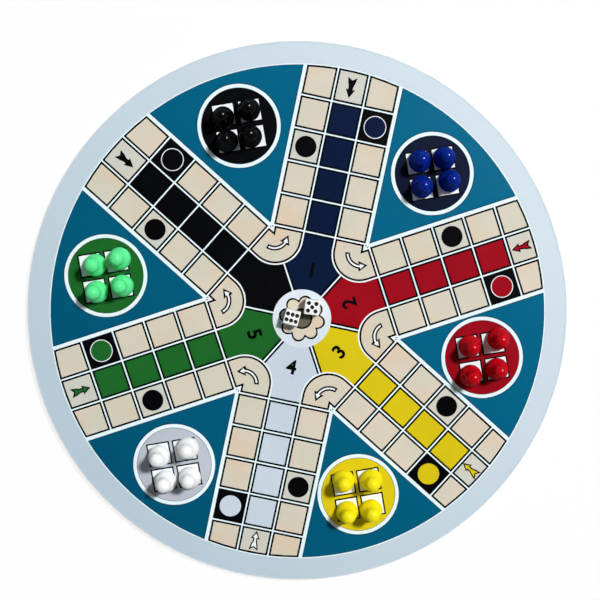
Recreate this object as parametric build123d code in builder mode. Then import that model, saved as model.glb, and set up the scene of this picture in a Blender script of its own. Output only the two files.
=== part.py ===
"""Round six-player race board with its loose playing pieces.

The board is a wood-fibre disc with a printed laminate on top, a plain balancing laminate
underneath and a moulded band round the edge.  Six homes on the print each hold four hollow
moulded pawns, and two dice lie on the middle of the board.

Millimetres, +Z up.  The origin is the middle of the underside, and one arm of the printed
track points along +Y.
"""

from build123d import *
from math import cos, radians, sin
import os

# ---------------------------------------------------------------- driving dimensions

# Board
board_diameter = 400.0
core_thickness = 6.0
sheet_thickness = 0.4  # printed laminate on top
backing_thickness = 0.4  # plain laminate underneath
band_thickness = 1.2  # edge band, measured across the rim
band_round = 0.5  # rounding of the band's two outer edges
glue_line = 0.05  # radial gap between the band and the boards it is stuck to

# Printed places that the pieces stand on
rim_width = 17.0  # plain border outside the printed field
home_to_field_edge = 8.5  # from a home disc to the edge of the field
home_disc_diameter = 61.0
home_count = 6
first_home_angle = 60.0  # the blue home, just clockwise of the arm along +Y
grid_angle = 21.5  # all six grids of squares are turned this far from +X
square_margin = 0.7  # a square is this much wider than the pawn that stands on it
square_gap = 2.0  # between two squares of one home

# Pawn
pawn_diameter = 16.6  # widest part of the bulb
pawn_height = 25.0
foot_height = 3.0  # height of the widest part
foot_tuck = 1.1  # how far the foot draws in below the widest part
foot_land = 0.9  # width of the flat ring that the pawn stands on
neck_diameter = 8.2
head_diameter = 10.6
neck_to_head = 5.1  # from the narrowest part of the neck up to the middle of the head
pawn_wall = 1.4  # at the neck and over the top of the hollow
core_draft = 0.3  # how far the hollow draws in over its straight lower part
core_straight = 5.0  # height of that straight lower part

# Die
die_size = 11.2
die_round = 0.8
pip_diameter = 2.5
pip_depth = 0.45
pip_margin = 0.9  # from an outer pip of the six to the side of the die
die_gap = 1.8  # between the two dice, side by side
first_die_place = (-4.4, -2.6)
second_die_rise = 10.5  # how far the second die lies further up the board
die_turns = (-3.3, 4.7)
six_step = 1.25  # the outer pips of the six against those of the five, along its rows
six_rise = 0.8  # and across them

# How far each home is printed from its place on a regular ring, along X and along Y.
home_offsets = {
    "blue": (3.1, -2.5),
    "red": (-3.3, -3.0),
    "yellow": (-0.2, 1.8),
    "white": (4.5, -4.2),
    "green": (-0.9, -1.3),
    "black": (0.9, 1.7),
}

# Where each pawn stands, measured from the middle of its square along the grid, in the
# order far left, far right, near left, near right.  They were put down by hand.
pawn_shifts = {
    "blue": [(1.6, 0.7), (0.5, 0.0), (0.3, 1.2), (1.7, 2.2)],
    "red": [(1.4, 0.5), (3.9, 2.5), (-1.5, -2.0), (-0.6, -0.4)],
    "yellow": [(0.5, 3.0), (1.8, -0.1), (-0.7, -1.6), (-2.0, -3.3)],
    "white": [(0.0, -1.1), (2.8, 1.4), (1.4, -1.3), (0.4, -1.6)],
    "green": [(4.0, -0.7), (3.0, 1.1), (1.4, -0.9), (1.5, 0.3)],
    "black": [(-0.8, -2.3), (-0.5, 0.4), (-0.9, -0.1), (-2.5, 0.5)],
}
square_signs = [(-1, 1), (1, 1), (-1, -1), (1, -1)]

# ---------------------------------------------------------------- worked-out sizes

core_radius = board_diameter / 2 - band_thickness - glue_line
board_thickness = backing_thickness + core_thickness + sheet_thickness
home_radius = board_diameter / 2 - rim_width - home_to_field_edge - home_disc_diameter / 2
square_pitch = pawn_diameter + square_margin + square_gap
pip_pitch = (die_size / 2 - pip_margin - pip_diameter / 2) / six_step  # as on the five

os.makedirs("parts", exist_ok=True)


def save(part, name):
    """Label a finished piece and write it to its own file."""
    part.label = name
    export_step(part, f"parts/{name}.step")


# ---------------------------------------------------------------- board

with BuildPart() as backing_sheet:
    with BuildSketch(Plane.XY):
        Circle(core_radius)
    extrude(amount=backing_thickness)
save(backing_sheet.part, "backing_sheet")

with BuildPart() as board_core:
    with BuildSketch(Plane.XY.offset(backing_thickness)):
        Circle(core_radius)
    extrude(amount=core_thickness)
save(board_core.part, "board_core")

with BuildPart() as printed_sheet:
    with BuildSketch(Plane.XY.offset(backing_thickness + core_thickness)):
        Circle(core_radius)
    extrude(amount=sheet_thickness)
save(printed_sheet.part, "printed_sheet")

with BuildPart() as edge_band:
    with BuildSketch(Plane.XY):
        Circle(board_diameter / 2)
        Circle(core_radius + glue_line, mode=Mode.SUBTRACT)
    extrude(amount=board_thickness)
    outer_wall = edge_band.faces().filter_by(GeomType.CYLINDER).sort_by(SortBy.AREA)[-1]
    fillet(outer_wall.edges().filter_by(GeomType.CIRCLE), radius=band_round)
save(edge_band.part, "edge_band")

# ---------------------------------------------------------------- pawns


def pawn(place):
    """One hollow moulded pawn, turned about the upright line through its place.

    The bulb runs into the waist in two arcs of one radius, which meet half way, and a
    third arc runs from the waist on to the ball of the head.
    """
    widest = pawn_diameter / 2
    waist = neck_diameter / 2
    ball = head_diameter / 2
    foot = widest - foot_tuck
    neck_height = pawn_height - ball - neck_to_head
    # the arc between waist and ball touches both, so its radius follows from them
    cove = (waist**2 + neck_to_head**2 - ball**2) / (2 * (ball - waist))
    share = cove / (cove + ball)
    halfway = ((widest + waist) / 2, (foot_height + neck_height) / 2)
    ball_start = ((waist + cove) * (1 - share), neck_height + neck_to_head * share)
    core_foot = foot - foot_land
    core_top = waist - pawn_wall

    with BuildPart() as turned:
        with BuildSketch(Plane(origin=place, x_dir=(1, 0, 0), z_dir=(0, -1, 0))):
            with BuildLine():
                Line((core_foot, 0), (foot, 0))
                TangentArc((widest, foot_height), (foot, 0), tangent=(0, -1))
                TangentArc((widest, foot_height), halfway, tangent=(0, 1))
                TangentArc((waist, neck_height), halfway, tangent=(0, -1))
                TangentArc((waist, neck_height), ball_start, tangent=(0, 1))
                TangentArc((0, pawn_height), ball_start, tangent=(1, 0))
                Line((0, pawn_height), (0, neck_height - pawn_wall))
                Line((0, neck_height - pawn_wall), (core_top, neck_height - pawn_wall))
                Line((core_top, neck_height - pawn_wall), (core_foot - core_draft, core_straight))
                Line((core_foot - core_draft, core_straight), (core_foot, 0))
            make_face()
        revolve(axis=Axis(place, (0, 0, 1)))
    return turned.part


def turned_by(point, angle):
    """A point of the board turned about the origin, in degrees."""
    c, s = cos(radians(angle)), sin(radians(angle))
    return (point[0] * c - point[1] * s, point[0] * s + point[1] * c)


for home, (colour, shifts) in enumerate(pawn_shifts.items()):
    home_angle = first_home_angle - home * 360 / home_count
    regular_place = turned_by((home_radius, 0), home_angle)
    home_centre = tuple(a + b for a, b in zip(regular_place, home_offsets[colour]))
    for number, (signs, shift) in enumerate(zip(square_signs, shifts), start=1):
        along = signs[0] * square_pitch / 2 + shift[0]
        across = signs[1] * square_pitch / 2 + shift[1]
        step = turned_by((along, across), grid_angle)
        place = (home_centre[0] + step[0], home_centre[1] + step[1], board_thickness)
        save(pawn(place), f"pawn_{colour}_{number}")

# ---------------------------------------------------------------- dice

# Pips of each number as steps of pip_pitch across a face.  The two rows of the six lie
# closer together than the corners of the other numbers.
pip_steps = {
    1: [(0, 0)],
    2: [(-1, 1), (1, -1)],
    3: [(-1, 1), (0, 0), (1, -1)],
    4: [(-1, 1), (1, 1), (-1, -1), (1, -1)],
    5: [(-1, 1), (1, 1), (0, 0), (-1, -1), (1, -1)],
    6: [(u * six_step, v * six_rise) for v in (1, -1) for u in (-1, 0, 1)],
}


def die(place, turn, top, front, right):
    """One die with dished pips; opposite faces add up to seven."""
    half = die_size / 2
    numbers = {
        top: Vector(0, 0, 1),
        7 - top: Vector(0, 0, -1),
        front: Vector(0, -1, 0),
        7 - front: Vector(0, 1, 0),
        right: Vector(1, 0, 0),
        7 - right: Vector(-1, 0, 0),
    }
    # each pip is the dish that a ball of this radius leaves
    dish = (pip_diameter**2 / 4 + pip_depth**2) / (2 * pip_depth)
    with BuildPart(Plane(origin=place).rotated((0, 0, turn))) as cube:
        Box(die_size, die_size, die_size, align=(Align.CENTER, Align.CENTER, Align.MIN))
        fillet(cube.edges(), radius=die_round)
        for number, outward in numbers.items():
            sideways = (0, 1, 0) if outward.X else (1, 0, 0)
            middle = Vector(0, 0, half) + outward * (half + dish - pip_depth)
            with Locations(Plane(origin=middle, x_dir=sideways, z_dir=outward)):
                with Locations([(u * pip_pitch, v * pip_pitch) for u, v in pip_steps[number]]):
                    Sphere(dish, mode=Mode.SUBTRACT)
    return cube.part


second_die_place = (first_die_place[0] + die_size + die_gap, first_die_place[1] + second_die_rise)
save(die((*first_die_place, board_thickness), die_turns[0], top=6, front=5, right=3), "die_1")
save(die((*second_die_place, board_thickness), die_turns[1], top=5, front=4, right=1), "die_2")
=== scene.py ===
"""Looks of a round six-player race board with its pawns and dice.

The print is laid on in thin plates of ink, one piece for each ink, on a laminate sheet that
takes the place of the plain one.  The pawns, dice and edge band keep their own shape.
The print is laid out in millimetres from the middle of the board, with one arm along +Y.
"""

from math import acos, cos, degrees, pi, radians, sin, sqrt, tan

import bmesh
import bpy
from mathutils import Matrix, Vector


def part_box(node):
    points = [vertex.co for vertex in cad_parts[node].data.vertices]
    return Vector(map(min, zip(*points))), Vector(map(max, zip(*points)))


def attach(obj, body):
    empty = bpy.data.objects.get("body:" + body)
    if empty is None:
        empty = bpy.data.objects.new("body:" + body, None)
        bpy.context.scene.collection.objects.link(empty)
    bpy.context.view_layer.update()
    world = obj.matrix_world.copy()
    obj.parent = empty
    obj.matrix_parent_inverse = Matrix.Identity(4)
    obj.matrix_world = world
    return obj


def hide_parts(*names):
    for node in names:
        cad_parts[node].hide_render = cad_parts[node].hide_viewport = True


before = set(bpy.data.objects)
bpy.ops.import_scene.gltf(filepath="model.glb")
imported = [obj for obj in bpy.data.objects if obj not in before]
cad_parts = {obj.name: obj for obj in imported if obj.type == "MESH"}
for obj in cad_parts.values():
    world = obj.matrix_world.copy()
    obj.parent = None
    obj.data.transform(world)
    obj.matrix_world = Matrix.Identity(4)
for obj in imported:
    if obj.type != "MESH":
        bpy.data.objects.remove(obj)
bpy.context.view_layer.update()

MM = 0.001

# ---------------------------------------------------------------- sizes of the print, in mm

SHEET_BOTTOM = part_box("printed_sheet")[0].z / MM
BOARD_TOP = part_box("printed_sheet")[1].z / MM
SHEET_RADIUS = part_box("printed_sheet")[1].y / MM

INK_LEVELS = 12
INK_STEP = 0.008  # each ink lies this much higher than the one under it
INK_ROOT = 0.02  # how deep a plate of ink reaches into the sheet
SHEET_TOP = BOARD_TOP - (INK_LEVELS + 0.5) * INK_STEP

FIELD_RADIUS = 183.0
FIELD_LINE = 0.45  # dark line round the field
FIELD_HALO = 0.8  # pale line outside it
TRACK_OFFSET = (3.2, -2.4)  # how far the track is printed from the middle of the board

ARMS = {"blue": 90, "red": 30, "yellow": -30, "white": -90, "green": -150, "black": 150}
ARM_STEP = 60
ROW_START = 63.6
ROW_PITCH = 24.3
ROWS = 5
COLUMN_PITCH = 23.4
GAP = 1.1  # white between two squares
LINE = 1.4  # black round each square
ARM_BORDER = 2.7  # white along the side of an arm
DARK_EDGE = 0.65  # where white meets the coloured ground

TURN_NEAREST = 44.0  # from the middle of the board to a turning square
NOTCH_SHOULDER = 0.9  # how much a turning square is cut back beside its notch
NOTCH_REACH = 1.7  # how much further than the arms' corner the notch goes
SAFE_DOT = 15.7
START_DOT = 16.6
START_RING = 0.55
PLAIN_DOT_INSET = 0.3  # a start dot without a ring is this much smaller all round
ARROW_LINE = 1.0
TURN_ARROW_LINE = 1.2
CENTRE_DISC = 43.4
FLOWER_PETALS = 8
FLOWER_LINE_RADIUS, FLOWER_LINE_DENT = 17.4, 4.2  # the dark flower, and how its petals part
FLOWER_RADIUS, FLOWER_DENT = 16.0, 4.8  # the cream flower on it
HEART_LINE, HEART = 15.5, 12.9
NUMBER_SIZE = 14.5
NUMBER_PLACE = 37.5  # from the middle of the board
NUMBER_LEVEL = 8
NUMBER_WEIGHT = 0.45  # how much the strokes are thickened

HOME_PLACE = 144.0
HOME_DISC = 61.0
HOME_RING = 3.0
HOME_LINE = 0.3  # black inside the white ring
HOME_SQUARE = 17.3
HOME_SQUARE_GAP = 2.0
HOME_SQUARE_LINE = 1.1
HOME_TURN = 21.5
HOME_OFFSETS = {  # how far each home is printed from its place on a regular ring
    "blue": (3.1, -2.5),
    "red": (-3.3, -3.0),
    "yellow": (-0.2, 1.8),
    "white": (4.5, -4.2),
    "green": (-0.9, -1.3),
    "black": (0.9, 1.7),
}

ARC_STEP = 3  # degrees between two points of a printed curve


# ---------------------------------------------------------------- outlines


def turned(points, angle):
    """Points turned about the middle of the board, in degrees."""
    c, s = cos(radians(angle)), sin(radians(angle))
    return [(x * c - y * s, x * s + y * c) for x, y in points]


def moved(points, dx, dy):
    return [(x + dx, y + dy) for x, y in points]


def arc(centre, radius, start, end):
    """Points along an arc, from one angle to another, both included."""
    count = max(2, round(abs(end - start) / ARC_STEP)) + 1
    angles = [radians(start + (end - start) * i / (count - 1)) for i in range(count)]
    return [(centre[0] + radius * cos(a), centre[1] + radius * sin(a)) for a in angles]


def disc(diameter, centre=(0, 0), step=ARC_STEP):
    count = round(360 / step)
    radius = diameter / 2
    angles = [2 * pi * i / count for i in range(count)]
    return [(centre[0] + radius * cos(a), centre[1] + radius * sin(a)) for a in angles]


def rectangle(left, right, bottom, top):
    return [(left, bottom), (right, bottom), (right, top), (left, top)]


def under_arc(left, right, bottom, radius, centre):
    """A rectangle whose top is cut by a circle."""
    start, end = (degrees(acos((x - centre[0]) / radius)) for x in (right, left))
    return [(left, bottom), (right, bottom)] + arc(centre, radius, start, end)


def board_middle(angle):
    """The middle of the board as an arm sees it, drawn along +Y from the track's middle."""
    return turned([tuple(-offset for offset in TRACK_OFFSET)], 90 - angle)[0]


def mirrored(points):
    """The points and, in reverse order, their mirror images across +Y."""
    return points + [(-x, y) for x, y in reversed(points) if abs(x) > 1e-6]


def square(column, row, angle, inset=0.0):
    """One square of an arm, drawn along +Y; column -1 to 1, row 0 next to the middle."""
    half = COLUMN_PITCH / 2 - GAP / 2 - inset
    left, right = column * COLUMN_PITCH - half, column * COLUMN_PITCH + half
    bottom = ROW_START + row * ROW_PITCH + GAP / 2 + inset
    if row == ROWS - 1:
        return under_arc(left, right, bottom, FIELD_RADIUS - inset, board_middle(angle))
    return rectangle(left, right, bottom, bottom + ROW_PITCH - GAP - 2 * inset)


def on_arm(points, angle):
    """What is drawn along +Y from the middle of the track, put in its place on an arm."""
    return moved(turned(points, angle - 90), *TRACK_OFFSET)


def square_middle(column, row):
    return (column * COLUMN_PITCH, ROW_START + (row + 0.5) * ROW_PITCH)


def arms_together(spread, radius):
    """All six arms in one outline, out to their borders and on by the spread."""
    half = 1.5 * COLUMN_PITCH - GAP / 2 + ARM_BORDER + spread
    notch = half / tan(radians(ARM_STEP / 2))
    outline = []
    for angle in sorted(ARMS.values()):
        outline += on_arm(under_arc(-half, half, notch, radius, board_middle(angle))[1:], angle)
    return outline


def home_field(inset):
    """The wedge between the middle of the board and the first row of an arm."""
    top = ROW_START - GAP / 2 - inset
    tip = (GAP / 2 + inset) / sin(radians(ARM_STEP / 2))
    half = (top - tip) * tan(radians(ARM_STEP / 2))
    return [(0, tip), (half, top), (-half, top)]


def turning_square(inset):
    """The rounded square between two arms, for the two arms either side of +Y."""
    lean = radians(ARM_STEP / 2)
    side = COLUMN_PITCH / 2 + GAP / 2
    centre = (TURN_NEAREST - side) / (1 - sin(lean))
    radius = centre - TURN_NEAREST - inset
    outer = 1.5 * COLUMN_PITCH - GAP / 2 - inset
    shoulder = outer - NOTCH_SHOULDER
    top = ROW_START - GAP / 2 - inset

    def beside_arm(across, along):
        return (along * sin(lean) - across * cos(lean), along * cos(lean) + across * sin(lean))

    start = -ARM_STEP / 2
    right = [beside_arm(shoulder, top), beside_arm(side + inset, top)]
    half_turn = arc((0, centre), radius, start, -90)
    outline = mirrored(right + half_turn[:-1])
    return outline + [(0, outer / sin(lean) - NOTCH_REACH)]


def turn_arrow(inset):
    """A bent arrow round the corner of the coloured ground, pointing clockwise."""
    centre, radius = 64.9, 9.6
    tail, neck = -53, 32  # where the shaft starts and ends, in degrees
    shaft = 1.8 - inset
    head_half, head_length, nod = 4.0, 6.9, 15

    slope = head_half / head_length
    trim = inset * (1 + sqrt(1 + 1 / slope**2))
    head_length -= trim
    head_half -= trim * slope
    tail += degrees(inset / radius)
    neck += degrees(inset / radius)

    def at(r, angle):
        return (r * sin(radians(angle)), centre - r * cos(radians(angle)))

    bends = [tail + (neck - tail) * i / 14 for i in range(15)]
    middle = at(radius, neck)
    along = (cos(radians(neck + nod)), sin(radians(neck + nod)))
    head = [
        (middle[0] + along[1] * head_half, middle[1] - along[0] * head_half),
        (middle[0] + along[0] * head_length, middle[1] + along[1] * head_length),
        (middle[0] - along[1] * head_half, middle[1] + along[0] * head_half),
    ]
    outer = [at(radius + shaft, a) for a in bends]
    inner = [at(radius - shaft, a) for a in reversed(bends)]
    return outer + head + inner


def entry_arrow(inset):
    """A feathered arrow pointing to the middle of the board, about its own middle."""
    right = [
        (0, 5.3 - 1.2 * inset),
        (3.5 - 1.25 * inset, 7.6 - 2.0 * inset),
        (2.7 - inset, 3.4),
        (1.7 - inset, 0.5),
        (1.7 - inset, -1.5 - 0.8 * inset),
        (3.5 - 1.5 * inset, -1.3 - inset),
        (0, -7.7 + 2.1 * inset),
    ]
    return mirrored(right)


def blossom(petals, radius, dent):
    """A round flower about the middle of the board; the dent is how deep its petals part."""
    spots = []
    for degree in range(0, 360, ARC_STEP):
        part = abs(cos(radians(petals * degree / 2)))
        r = radius - dent * (1 - part**0.7)
        spots.append((r * cos(radians(degree)), r * sin(radians(degree))))
    return spots


# ---------------------------------------------------------------- shader maths


def tint(red, green, blue):
    """A colour given from 0 to 255, as the light values that a shader takes."""
    parts = [v / 255 for v in (red, green, blue)]
    return tuple(v / 12.92 if v <= 0.04045 else ((v + 0.055) / 1.055) ** 2.4 for v in parts) + (1,)


class Value:
    """A number that changes over a surface, written as ordinary sums."""

    def __init__(self, finish, socket):
        self.finish, self.socket = finish, socket

    def __add__(self, other):
        return self.finish.maths("ADD", self, other)

    def __mul__(self, other):
        return self.finish.maths("MULTIPLY", self, other)

    __radd__, __rmul__ = __add__, __mul__


class Finish:
    """A material in the making: its nodes, and the sums between them."""

    def __init__(self, name):
        self.material = bpy.data.materials.new(name)
        self.material.use_nodes = True
        self.tree = self.material.node_tree
        self.tree.nodes.clear()
        self.place = self.node("ShaderNodeTexCoord").outputs["Object"]

    def node(self, kind, settings=None, values=None):
        """Any node: its settings first, then a value or a link for each socket named."""
        made = self.tree.nodes.new(kind)
        for key, setting in (settings or {}).items():
            setattr(made, key, setting)
        for key, value in (values or {}).items():
            value = value.socket if isinstance(value, Value) else value
            if isinstance(value, bpy.types.NodeSocket):
                self.tree.links.new(value, made.inputs[key])
            else:
                made.inputs[key].default_value = value
        return made

    def maths(self, operation, first, second):
        sums = self.node("ShaderNodeMath", {"operation": operation}, {0: first, 1: second})
        return Value(self, sums.outputs[0])

    def noise(self, grain, detail=2.0, roughness=0.5, place=None):
        """Soft noise from 0 to 1 with grains of about this size, in metres."""
        made = self.node(
            "ShaderNodeTexNoise",
            None,
            {
                "Vector": place or self.place,
                "Scale": 1 / grain,
                "Detail": detail,
                "Roughness": roughness,
            },
        )
        return Value(self, made.outputs[0])

    def spread(self, value, low, high):
        """The value stretched so that low becomes 0 and high becomes 1, and held there."""
        made = self.node(
            "ShaderNodeMapRange", None, {"Value": value, "From Min": low, "From Max": high}
        )
        return Value(self, made.outputs[0])

    def mix(self, factor, first, second):
        """One colour running into another."""
        made = self.node(
            "ShaderNodeMix", {"data_type": "RGBA"}, {0: factor, 6: first, 7: second}
        )
        return made.outputs[2]

    def bump(self, height, depth):
        """Relief of this depth, in metres."""
        made = self.node(
            "ShaderNodeBump", None, {"Height": height, "Strength": 1.0, "Distance": depth}
        )
        return made.outputs[0]

    def done(self, colour, roughness, normal=None, **fixed):
        """The surface itself; what is fixed is set on its own sockets."""
        values = {"Base Color": colour, "Roughness": roughness}
        if normal is not None:
            values["Normal"] = normal
        values.update({key.replace("_", " "): value for key, value in fixed.items()})
        surface = self.node("ShaderNodeBsdfPrincipled", None, values)
        self.node("ShaderNodeOutputMaterial", None, {"Surface": surface.outputs[0]})
        return self.material


# ---------------------------------------------------------------- finishes

LAMINATE_GLOSS = 0.035  # how strongly the laminate mirrors
LAMINATE_HAZE = 0.16  # its roughness where it is clearest
PRINT_GRAIN = 0.0011
BLACK = (0, 0, 0, 1)
INK_FADE = 0.88  # how far an ink with one tone falls off
PAINTED_LIGHT_WAY = (0.62, 0.78)  # painted light: the side of the sheet, as X and Y, towards the key lamp, where the ground is painted lighter; the far side is painted in shade


def under_laminate(finish, colour, grain, haze=LAMINATE_HAZE):
    """Ink seen through the gloss laminate, with its haze and its faint orange peel."""
    roughness = haze + finish.noise(0.03, 4.0, 0.6) * 0.08 + grain * 0.03
    peel = finish.noise(0.0035, 2.0) * 0.7 + grain * 0.3
    return finish.done(
        colour, roughness, finish.bump(peel, 0.00002), Specular_IOR_Level=LAMINATE_GLOSS
    )


def specked(finish, colour, grain, amount, speck=BLACK):
    """The colour with the fine dark grain of print."""
    return finish.mix(finish.spread(grain, 0.45, 0.8) * amount, colour, speck)


def laminate(name, colour, other=None):
    """Ink that drifts between two tones over the board, or towards a slightly darker one."""
    finish = Finish(name)
    far = other or tuple(v * INK_FADE for v in colour[:3]) + (1,)
    drifting = finish.spread(finish.noise(0.09, 3.0), 0.32, 0.68)
    grain = finish.noise(PRINT_GRAIN, 3.0, 0.6)
    colour = specked(finish, finish.mix(drifting, colour, far), grain, 0.06)
    return under_laminate(finish, colour, grain)


def ground_ink(name, dark, light, mottle=0.08):
    """A broad ground colour with painted light: lighter towards the key lamp's side of the sheet,
    with painted shade on the far side.
    """
    finish = Finish(name)
    split = finish.node("ShaderNodeSeparateXYZ", None, {0: finish.place})
    across, along = (Value(finish, split.outputs[i]) for i in (0, 1))
    # painted light and shade across the sheet, from the shaded tone to the lit tone, with a faint
    # random cloud
    towards_light = across * PAINTED_LIGHT_WAY[0] + along * PAINTED_LIGHT_WAY[1]
    slope = towards_light * 2.6 + 0.42 + finish.noise(0.07, 3.0) * 0.16
    grain = finish.noise(PRINT_GRAIN, 3.0, 0.6)
    colour = finish.mix(finish.spread(slope, 0.0, 1.0), dark, light)
    return under_laminate(finish, specked(finish, colour, grain, mottle), grain)


def cream_ink(name, warm, plain, grey):
    """Cream squares: each patch is a little warmer, greyer or greener than the next."""
    finish = Finish(name)
    first = finish.spread(finish.noise(0.028, 1.0), 0.38, 0.62)
    shift = finish.node(
        "ShaderNodeVectorMath", {"operation": "ADD"}, {0: finish.place, 1: (3, 5, 7)}
    )
    second = finish.spread(finish.noise(0.033, 1.0, place=shift.outputs[0]), 0.5, 0.72)
    grain = finish.noise(PRINT_GRAIN, 3.0, 0.6)
    colour = finish.mix(second * 0.8, finish.mix(first, grey, plain), warm)
    colour = specked(finish, colour, grain, 0.07, tint(120, 105, 85))
    return under_laminate(finish, colour, grain, haze=0.18)


SKIN_WEIGHT, SKIN_IOR = 0.06, 1.8  # the polished skin of moulded plastic


def plastic(name, colour, shadow, gloss=0.18):
    """Moulded plastic: even colour with faint flow clouds under a thin, polished skin."""
    finish = Finish(name)
    cloud = finish.spread(finish.noise(0.012, 2.0), 0.35, 0.7)
    fine = finish.noise(0.0009, 3.0, 0.6)
    body = finish.mix(cloud * 0.3, colour, shadow)
    roughness = gloss + finish.noise(0.004, 3.0, 0.6) * 0.12 + fine * 0.06
    dimple = finish.noise(0.0022, 2.0) * 0.75 + fine * 0.25
    return finish.done(
        body,
        roughness,
        finish.bump(dimple, 0.000006),
        Specular_IOR_Level=0.01,
        Coat_Weight=SKIN_WEIGHT,
        Coat_IOR=SKIN_IOR,
        Coat_Roughness=gloss,
    )


def fibreboard(name):
    """Pressed wood fibre, seen only where the board is cut."""
    finish = Finish(name)
    fibres = finish.noise(0.0006, 4.0, 0.7)
    flakes = finish.noise(0.006, 3.0, 0.6)
    colour = finish.mix(fibres, tint(150, 116, 76), tint(196, 160, 112))
    colour = finish.mix(finish.spread(flakes, 0.5, 0.8) * 0.4, colour, tint(120, 88, 56))
    return finish.done(colour, 0.8 + fibres * 0.1, finish.bump(fibres, 0.0001))


def backing(name):
    """Plain balancing laminate: off-white, satin, faintly scuffed where it slides."""
    finish = Finish(name)
    stretch = finish.node(
        "ShaderNodeVectorMath", {"operation": "MULTIPLY"}, {0: finish.place, 1: (1, 14, 1)}
    )
    scuffs = finish.spread(finish.noise(0.03, 5.0, 0.7, stretch.outputs[0]), 0.56, 0.7)
    stains = finish.spread(finish.noise(0.08, 3.0), 0.3, 0.7)
    grain = finish.noise(0.0012, 3.0, 0.6)
    colour = finish.mix(stains, tint(228, 230, 228), tint(204, 206, 201))
    colour = finish.mix(scuffs * 0.5, colour, tint(150, 148, 142))
    roughness = 0.45 + scuffs * 0.2 + grain * 0.06
    return finish.done(colour, roughness, finish.bump(grain, 0.00003))


def studio_white(name):
    """Pale floor: it holds the shadow and stays near white where it is seen."""
    finish = Finish(name)
    rays = finish.node("ShaderNodeLightPath").outputs
    kinds = ("Is Camera Ray", "Is Glossy Ray", "Is Transmission Ray")
    camera, glossy, through = (Value(finish, rays[kind]) for kind in kinds)
    seen = finish.maths("MINIMUM", camera + glossy + through, 1.0)
    dust = finish.noise(0.3, 2.0)
    paper = finish.node(
        "ShaderNodeBsdfDiffuse",
        None,
        {"Color": finish.mix(dust, tint(250, 250, 250), tint(246, 247, 248))},
    )
    glow = finish.node("ShaderNodeEmission", None, {"Color": (1, 1, 1, 1), "Strength": 1.0})
    both = finish.node(
        "ShaderNodeMixShader", None, {0: seen * 0.84, 1: paper.outputs[0], 2: glow.outputs[0]}
    )
    finish.node("ShaderNodeOutputMaterial", None, {"Surface": both.outputs[0]})
    return finish.material


# ---------------------------------------------------------------- pieces


def piece(name, mesh, material, body):
    """A new piece with its finish, riding on a body."""
    made = bpy.data.objects.new(name, mesh)
    bpy.context.scene.collection.objects.link(made)
    mesh.materials.clear()
    mesh.materials.append(material)
    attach(made, body)
    return made


def finished(bm, name, smooth=False):
    """The mesh that is being built, closed off with its faces turned outwards."""
    bmesh.ops.recalc_face_normals(bm, faces=bm.faces)
    for face in bm.faces:
        face.smooth = smooth
    mesh = bpy.data.meshes.new(name)
    bm.to_mesh(mesh)
    bm.free()
    return mesh


def lathe(bm, profile, sides, place):
    """The skin of a profile of (radius, height), turned about the Z axis of its place."""
    loops = []
    for radius, height in profile:
        count = sides if radius else 1
        turns = [2 * pi * i / count for i in range(count)]
        spots = [Vector((radius * cos(a), radius * sin(a), height)) for a in turns]
        loops.append([bm.verts.new(place @ spot) for spot in spots])
    for first, second in zip(loops, loops[1:]):
        for i in range(sides):
            j = (i + 1) % sides
            corners = [first[i % len(first)], first[j % len(first)]]
            corners += [second[j % len(second)], second[i % len(second)]]
            bm.faces.new(list(dict.fromkeys(corners)))


def plates(outlines, bottom, top):
    """A mesh of flat closed plates, one for each outline, between two heights in mm."""
    bm = bmesh.new()
    for outline in outlines:
        low = [bm.verts.new((x * MM, y * MM, bottom * MM)) for x, y in outline]
        high = [bm.verts.new((x * MM, y * MM, top * MM)) for x, y in outline]
        bm.faces.new(low)
        bm.faces.new(high)
        for i, first in enumerate(low):
            j = (i + 1) % len(low)
            bm.faces.new((first, low[j], high[j], high[i]))
    return finished(bm, "plates")


def ink(name, outlines, level, material):
    """One ink of the print, as plates that end at its level."""
    mesh = plates(outlines, SHEET_TOP - INK_ROOT, SHEET_TOP + level * INK_STEP)
    return piece(name, mesh, material, "board")


# ---------------------------------------------------------------- the printed sheet

paper_white = laminate("laminate_white", tint(243, 248, 250), tint(236, 242, 246))
black_ink = laminate("ink_black", tint(8, 8, 11), tint(5, 5, 7))
fills = {
    "blue": laminate("ink_navy", tint(9, 27, 52), tint(10, 25, 62)),
    "red": laminate("ink_red", tint(158, 13, 28), tint(147, 10, 26)),
    "yellow": laminate("ink_yellow", tint(224, 203, 22), tint(214, 192, 24)),
    "white": laminate("ink_pale_blue", tint(204, 217, 229), tint(197, 209, 222)),
    "green": laminate("ink_green", tint(33, 104, 42), tint(27, 97, 38)),
    "black": laminate("ink_jet", tint(9, 10, 13), tint(6, 7, 10)),
}
home_fills = dict(fills)
home_fills["white"] = laminate("ink_grey_blue", tint(189, 194, 204), tint(178, 183, 195))
home_fills["blue"] = laminate("ink_dark_navy", tint(16, 25, 50), tint(12, 20, 44))
cream = cream_ink("ink_cream", tint(221, 198, 170), tint(217, 206, 189), tint(210, 206, 188))
stone = cream_ink("ink_stone", tint(210, 203, 188), tint(208, 207, 197), tint(204, 206, 196))
deep_teal = laminate("ink_deep_teal", tint(4, 62, 84), tint(4, 70, 94))
ice_white = laminate("ink_ice_white", tint(232, 248, 252), tint(225, 242, 248))

# The rim's ground has painted light: lighter towards the key lamp, painted shade on the far side.
sheet = piece(
    "printed_sheet_face",
    plates([disc(2 * SHEET_RADIUS, step=1)], SHEET_BOTTOM, SHEET_TOP),
    ground_ink("laminate_rim_painted_light", tint(187, 205, 217), tint(207, 221, 230), mottle=0.03),
    "board",
)
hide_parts("printed_sheet")

halo_radius = FIELD_RADIUS + FIELD_HALO
ink("print_field_halo", [disc(2 * halo_radius, step=1)], 1, ice_white)
ink("print_field_edge", [disc(2 * FIELD_RADIUS, step=1)], 2, deep_teal)
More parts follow.
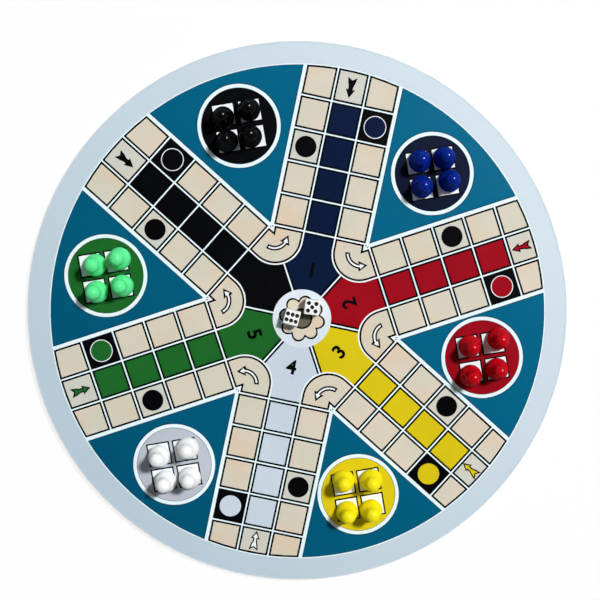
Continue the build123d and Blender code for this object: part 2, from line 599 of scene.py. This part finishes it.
# The teal ground has painted light: lighter towards the key lamp, painted shade on the far side.
ink(
    "print_ground",
    [disc(2 * (FIELD_RADIUS - FIELD_LINE), step=1)],
    3,
    ground_ink("ink_teal_painted_light", tint(2, 82, 113), tint(3, 102, 137)),
)

all_arms = list(ARMS.values())


def round_the_board(outlines, angles):
    """Outlines drawn for an arm along +Y, repeated at each angle."""
    return [on_arm(outline, angle) for angle in angles for outline in outlines]


def squares_of(spots, angle, inset=0.0):
    """Squares of one arm in their places."""
    return [on_arm(square(*spot, angle, inset), angle) for spot in spots]


ink("print_arm_edges", [arms_together(DARK_EDGE, FIELD_RADIUS)], 4, deep_teal)
ink("print_arms", [arms_together(0, halo_radius)], 5, ice_white)

middle_squares = [(0, row) for row in range(ROWS - 1)]
start_square, safe_square, entry_square = (1, 3), (-1, 2), (0, ROWS - 1)
plain_squares = [
    (column, row)
    for column in (-1, 0, 1)
    for row in range(ROWS)
    if (column, row) not in middle_squares + [start_square, safe_square, entry_square]
]
every_square = middle_squares + plain_squares + [start_square, safe_square, entry_square]
outlines = [outline for angle in all_arms for outline in squares_of(every_square, angle)]
outlines += round_the_board([home_field(0)], all_arms)
ink("print_square_lines", outlines, 6, black_ink)
marked_squares = [safe_square, entry_square]
stone_squares = [s for angle in all_arms for s in squares_of(marked_squares, angle, LINE)]
ink("print_stone_squares", stone_squares, 7, stone)
cream_squares = [s for angle in all_arms for s in squares_of(plain_squares, angle, LINE)]
ink("print_cream_squares", cream_squares, 7, cream)
for colour, angle in ARMS.items():
    own = squares_of(middle_squares, angle, LINE) + round_the_board([home_field(LINE)], [angle])
    ink(f"print_{colour}_squares", own, 7, fills[colour])

# Marks on the squares
safe_dot = disc(SAFE_DOT, square_middle(*safe_square), step=6)
ink("print_safe_dots", round_the_board([safe_dot], all_arms), 8, black_ink)
for colour, angle in ARMS.items():
    ringed = colour not in ("yellow", "white")
    inset = START_RING if ringed else PLAIN_DOT_INSET
    dot = disc(START_DOT - 2 * inset, square_middle(*start_square), step=6)
    ink(f"print_{colour}_start_dot", round_the_board([dot], [angle]), 9, fills[colour])
start_ring = disc(START_DOT, square_middle(*start_square), step=6)
ringed_arms = [ARMS[colour] for colour in ("blue", "red", "green", "black")]
ink("print_start_rings", round_the_board([start_ring], ringed_arms), 8, paper_white)



def placed_arrow(angle, inset):
    """The entry arrow half way between the last line across the arm and the field's edge."""
    edge = board_middle(angle)[1] + FIELD_RADIUS
    middle = (ROW_START + (ROWS - 1) * ROW_PITCH + edge) / 2
    return on_arm(moved(entry_arrow(inset), 0, middle), angle)


# An arrow on the outermost square of each arm
arrow_outlines = [placed_arrow(angle, 0) for angle in all_arms]
ink("print_entry_arrow_lines", arrow_outlines, 8, black_ink)
arrow_fills = {colour: fills[colour] for colour in ("red", "yellow", "green")}
arrow_fills["white"] = paper_white
for colour, filling in arrow_fills.items():
    arrow = placed_arrow(ARMS[colour], ARROW_LINE)
    ink(f"print_{colour}_entry_arrow", [arrow], 9, filling)

# Turning squares between the arms
between = [angle + ARM_STEP / 2 for angle in all_arms]
ink("print_turn_borders", round_the_board([turning_square(-GAP)], between), 8, paper_white)
ink("print_turn_lines", round_the_board([turning_square(0)], between), 9, black_ink)
ink("print_turn_squares", round_the_board([turning_square(LINE)], between), 10, cream)
ink("print_turn_arrow_lines", round_the_board([turn_arrow(0)], between), 11, black_ink)
ink("print_turn_arrows", round_the_board([turn_arrow(TURN_ARROW_LINE)], between), 12, paper_white)



def at_centre(outline):
    """An outline drawn about the middle of the track, put in its place."""
    return [moved(outline, *TRACK_OFFSET)]


# The middle of the board: a plain disc with a flower, and a number on each home field
ink("print_centre", at_centre(disc(CENTRE_DISC)), 8, laminate("ink_centre", tint(224, 233, 241)))
dark_flower = blossom(FLOWER_PETALS, FLOWER_LINE_RADIUS, FLOWER_LINE_DENT)
cream_flower = blossom(FLOWER_PETALS, FLOWER_RADIUS, FLOWER_DENT)
ink("print_flower_lines", at_centre(dark_flower), 9, black_ink)
ink("print_flower", at_centre(cream_flower), 10, cream)
ink("print_flower_heart_line", at_centre(disc(HEART_LINE)), 11, black_ink)
ink("print_flower_heart", at_centre(disc(HEART)), 12, laminate("ink_olive", tint(104, 100, 84)))


def numbers():
    """The homes' numbers, upright for whoever sits behind the arm."""
    bm = bmesh.new()
    for number, angle in enumerate(all_arms, start=1):
        text = bpy.data.curves.new("number", "FONT")
        text.body = str(number)
        text.size = NUMBER_SIZE * MM
        text.align_x, text.align_y = "CENTER", "CENTER"
        text.extrude = (NUMBER_LEVEL * INK_STEP + INK_ROOT) / 2 * MM
        text.offset = NUMBER_WEIGHT * MM
        holder = bpy.data.objects.new("number", text)
        bpy.context.scene.collection.objects.link(holder)
        bpy.context.view_layer.update()
        mesh = bpy.data.meshes.new_from_object(
            holder.evaluated_get(bpy.context.evaluated_depsgraph_get())
        )
        height = SHEET_TOP + (NUMBER_LEVEL * INK_STEP - INK_ROOT) / 2
        mesh.transform(
            Matrix.Translation(Vector((*TRACK_OFFSET, 0)) * MM)
            @ Matrix.Rotation(radians(angle + 90), 4, "Z")
            @ Matrix.Translation((0, -NUMBER_PLACE * MM, height * MM))
        )
        bm.from_mesh(mesh)
        bpy.data.objects.remove(holder)
        bpy.data.meshes.remove(mesh)
    bmesh.ops.remove_doubles(bm, verts=bm.verts, dist=0.001 * MM)
    return finished(bm, "numbers")


piece("print_numbers", numbers(), black_ink, "board")

# Homes


def home_centre(colour):
    regular = turned([(HOME_PLACE, 0)], ARMS[colour] - ARM_STEP / 2)
    return moved(regular, *HOME_OFFSETS[colour])[0]


def home_squares(colour, inset):
    """The four squares of one home; all six homes' grids are turned alike."""
    pitch = HOME_SQUARE + HOME_SQUARE_GAP
    half = HOME_SQUARE / 2 - inset
    centre = home_centre(colour)
    found = []
    for x in (-pitch / 2, pitch / 2):
        for y in (-pitch / 2, pitch / 2):
            corners = rectangle(x - half, x + half, y - half, y + half)
            found.append(moved(turned(corners, HOME_TURN), *centre))
    return found


def home_discs(diameter):
    """One disc for each home, in the order of the arms."""
    return [disc(diameter, home_centre(colour)) for colour in ARMS]


ink("print_home_edges", home_discs(HOME_DISC + 2 * DARK_EDGE), 4, deep_teal)
ink("print_home_rings", home_discs(HOME_DISC), 5, ice_white)
ink("print_home_lines", home_discs(HOME_DISC - 2 * HOME_RING + 2 * HOME_LINE), 6, black_ink)
for colour, outline in zip(ARMS, home_discs(HOME_DISC - 2 * HOME_RING)):
    ink(f"print_{colour}_home", [outline], 7, home_fills[colour])
lines = [s for colour in ARMS for s in home_squares(colour, 0)]
ink("print_home_square_lines", lines, 8, black_ink)
squares = [s for colour in ARMS for s in home_squares(colour, HOME_SQUARE_LINE)]
ink("print_home_squares", squares, 9, paper_white)

# ---------------------------------------------------------------- pips

DIE_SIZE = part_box("die_1")[1].z / MM - BOARD_TOP
PIP_DIAMETER = 2.5
PIP_DEPTH = 0.45
PIP_PITCH = 2.76
SIX_STEP, SIX_RISE = 1.25, 0.8  # where the pips of the six lie against those of the five
PAINT = 0.05  # thickness of the paint in a pip, and how far it keys into the plastic
PAINT_LIP = 0.25  # how far the paint runs out over the rim of a pip
PAINT_RISE = 0.003  # how thick it is there, clear of the print that the die lies on
DICE = {  # turn, then the numbers on top, in front and on the right
    "die_1": (-3.3, 6, 5, 3),
    "die_2": (4.7, 5, 4, 1),
}
PIP_STEPS = {
    1: [(0, 0)],
    2: [(-1, 1), (1, -1)],
    3: [(-1, 1), (0, 0), (1, -1)],
    4: [(-1, 1), (1, 1), (-1, -1), (1, -1)],
    5: [(-1, 1), (1, 1), (0, 0), (-1, -1), (1, -1)],
    6: [(u * SIX_STEP, v * SIX_RISE) for v in (1, -1) for u in (-1, 0, 1)],
}
PIP_SIDES = 24


def painted_pip(bm, place):
    """A skin of paint in one dish; the dish faces +Z about the place's origin, in mm."""
    dish = (PIP_DIAMETER**2 / 4 + PIP_DEPTH**2) / (2 * PIP_DEPTH)
    ball = dish - PIP_DEPTH  # height of the dish's centre over the face
    lip = PIP_DIAMETER / 2 + PAINT_LIP
    rings = []
    for radius, shares in ((dish - PAINT, (0, 0.4, 0.75, 0.97)), (dish + PAINT, (0.97, 0.5, 0))):
        widest = min(sqrt(radius**2 - ball**2), PIP_DIAMETER / 2)
        spots = [widest * share for share in shares]
        rings.append([(r, ball - sqrt(radius**2 - r**2)) for r in spots])
    edge = [(PIP_DIAMETER / 2, PAINT_RISE), (lip, PAINT_RISE), (lip, -PAINT)]
    rings = rings[0] + edge + rings[1]
    lathe(bm, rings, PIP_SIDES, Matrix.Scale(MM, 4) @ place)


def pips(name):
    """Paint for all 21 pips of one die."""
    turn, top, front, right = DICE[name]
    low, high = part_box(name)
    middle = (low + high) / 2 / MM
    z, y, x = Vector((0, 0, 1)), Vector((0, 1, 0)), Vector((1, 0, 0))
    faces = {top: z, 7 - top: -z, front: -y, 7 - front: y, right: x, 7 - right: -x}
    bm = bmesh.new()
    die = Matrix.Translation(middle) @ Matrix.Rotation(radians(turn), 4, "Z")
    for number, outward in faces.items():
        sideways = y if outward.x else x
        upward = outward.cross(sideways)
        face = Matrix((sideways, upward, outward)).transposed().to_4x4()
        for u, v in PIP_STEPS[number]:
            spot = Matrix.Translation((u * PIP_PITCH, v * PIP_PITCH, DIE_SIZE / 2))
            painted_pip(bm, die @ face @ spot)
    return finished(bm, "pips", smooth=True)


pip_paint = plastic("pip_paint", tint(12, 12, 14), tint(20, 20, 22), gloss=0.3)
for die_name in DICE:
    piece(f"{die_name}_pips", pips(die_name), pip_paint, die_name)

# ---------------------------------------------------------------- finishes of the fixed pieces

PLASTICS = {
    "blue": (tint(3, 35, 134), tint(2, 24, 106)),
    "red": (tint(187, 6, 22), tint(160, 4, 16)),
    "yellow": (tint(246, 231, 20), tint(234, 212, 12)),
    "white": (tint(244, 245, 245), tint(234, 236, 236)),
    "green": (tint(98, 238, 152), tint(72, 220, 128)),
    "black": (tint(6, 6, 8), tint(3, 3, 4)),
}


def dress(node, material):
    """A fixed piece keeps its shape and takes this finish."""
    slots = node.material_slots
    if not slots:
        node.data.materials.append(material)
    for held in slots:
        held.material = material


pawn_plastics = {
    colour: plastic(f"pawn_plastic_{colour}", *shades) for colour, shades in PLASTICS.items()
}
die_plastic = plastic("die_plastic", tint(240, 241, 240), tint(232, 234, 234), gloss=0.24)
single = {
    "board_core": fibreboard("pressed_fibre"),
    "backing_sheet": backing("backing_laminate"),
    "edge_band": plastic("band_plastic", tint(202, 215, 226), tint(190, 206, 218), gloss=0.3),
}
for name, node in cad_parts.items():
    if name.startswith("pawn_"):
        dress(node, pawn_plastics[name.split("_")[1]])
    elif name.startswith("die_"):
        dress(node, die_plastic)
    elif name in single:
        dress(node, single[name])

# ---------------------------------------------------------------- floor, light and camera


BACKDROP_SIDES = 48


def backdrop():
    """Floor that runs into a low wall far away, turned about the upright line."""
    bend = [(6 + 2 * sin(radians(a)), 2 - 2 * cos(radians(a))) for a in range(0, 91, 10)]
    profile = [(0.0, 0.0)] + bend + [(8.0, 4.0)]
    bm = bmesh.new()
    lathe(bm, profile, BACKDROP_SIDES, Matrix())
    mesh = finished(bm, "backdrop", smooth=True)
    made = bpy.data.objects.new("backdrop", mesh)
    bpy.context.scene.collection.objects.link(made)
    mesh.materials.append(studio_white("studio_white"))
    return made


backdrop()


def softbox(name, azimuth, elevation, distance, size, power, only_gloss=False):
    """A square lamp aimed at the middle of the board; azimuth from +X towards +Y."""
    lamp = bpy.data.lights.new(name, "AREA")
    lamp.shape = "SQUARE"
    lamp.size = size
    lamp.energy = power
    a, e = radians(azimuth), radians(elevation)
    place = Vector((cos(a) * cos(e), sin(a) * cos(e), sin(e))) * distance
    holder = bpy.data.objects.new(name, lamp)
    bpy.context.scene.collection.objects.link(holder)
    holder.location = place
    holder.rotation_euler = place.to_track_quat("Z", "Y").to_euler()
    holder.visible_diffuse = not only_gloss


softbox("key_light", azimuth=50, elevation=59, distance=4.0, size=0.46, power=162.0)
softbox("sparkle", azimuth=50, elevation=59, distance=3.9, size=0.46, power=400.0, only_gloss=True)

world = bpy.data.worlds.new("studio")
bpy.context.scene.world = world
world.use_nodes = True
sky = world.node_tree.nodes["Background"].inputs
sky["Color"].default_value = (0.96, 0.98, 1.0, 1)
sky["Strength"].default_value = 0.13

CAMERA_PLACE = (-13.0, 47.8, 900.0)  # mm
CAMERA_TURNS = (0.2093, -0.0194, -0.0731)  # about Z, then Y, then X
CAMERA_SHIFT = (-0.03, 0.06)
FOCAL_PIXELS = 1205.9
PICTURE_PIXELS = 600
SENSOR = 36.0

camera = bpy.data.cameras.new("camera")
camera.sensor_width = SENSOR
camera.lens = FOCAL_PIXELS / PICTURE_PIXELS * SENSOR
camera.shift_x, camera.shift_y = CAMERA_SHIFT
camera.clip_start, camera.clip_end = 0.05, 60
camera_holder = bpy.data.objects.new("camera", camera)
bpy.context.scene.collection.objects.link(camera_holder)
about_z, about_y, about_x = (
    Matrix.Rotation(turn, 4, axis) for turn, axis in zip(CAMERA_TURNS, "ZYX")
)
place = Vector(CAMERA_PLACE) * MM
camera_holder.matrix_world = Matrix.Translation(place) @ about_z @ about_y @ about_x
bpy.context.scene.camera = camera_holder

bpy.context.scene.view_settings.view_transform = "Standard"
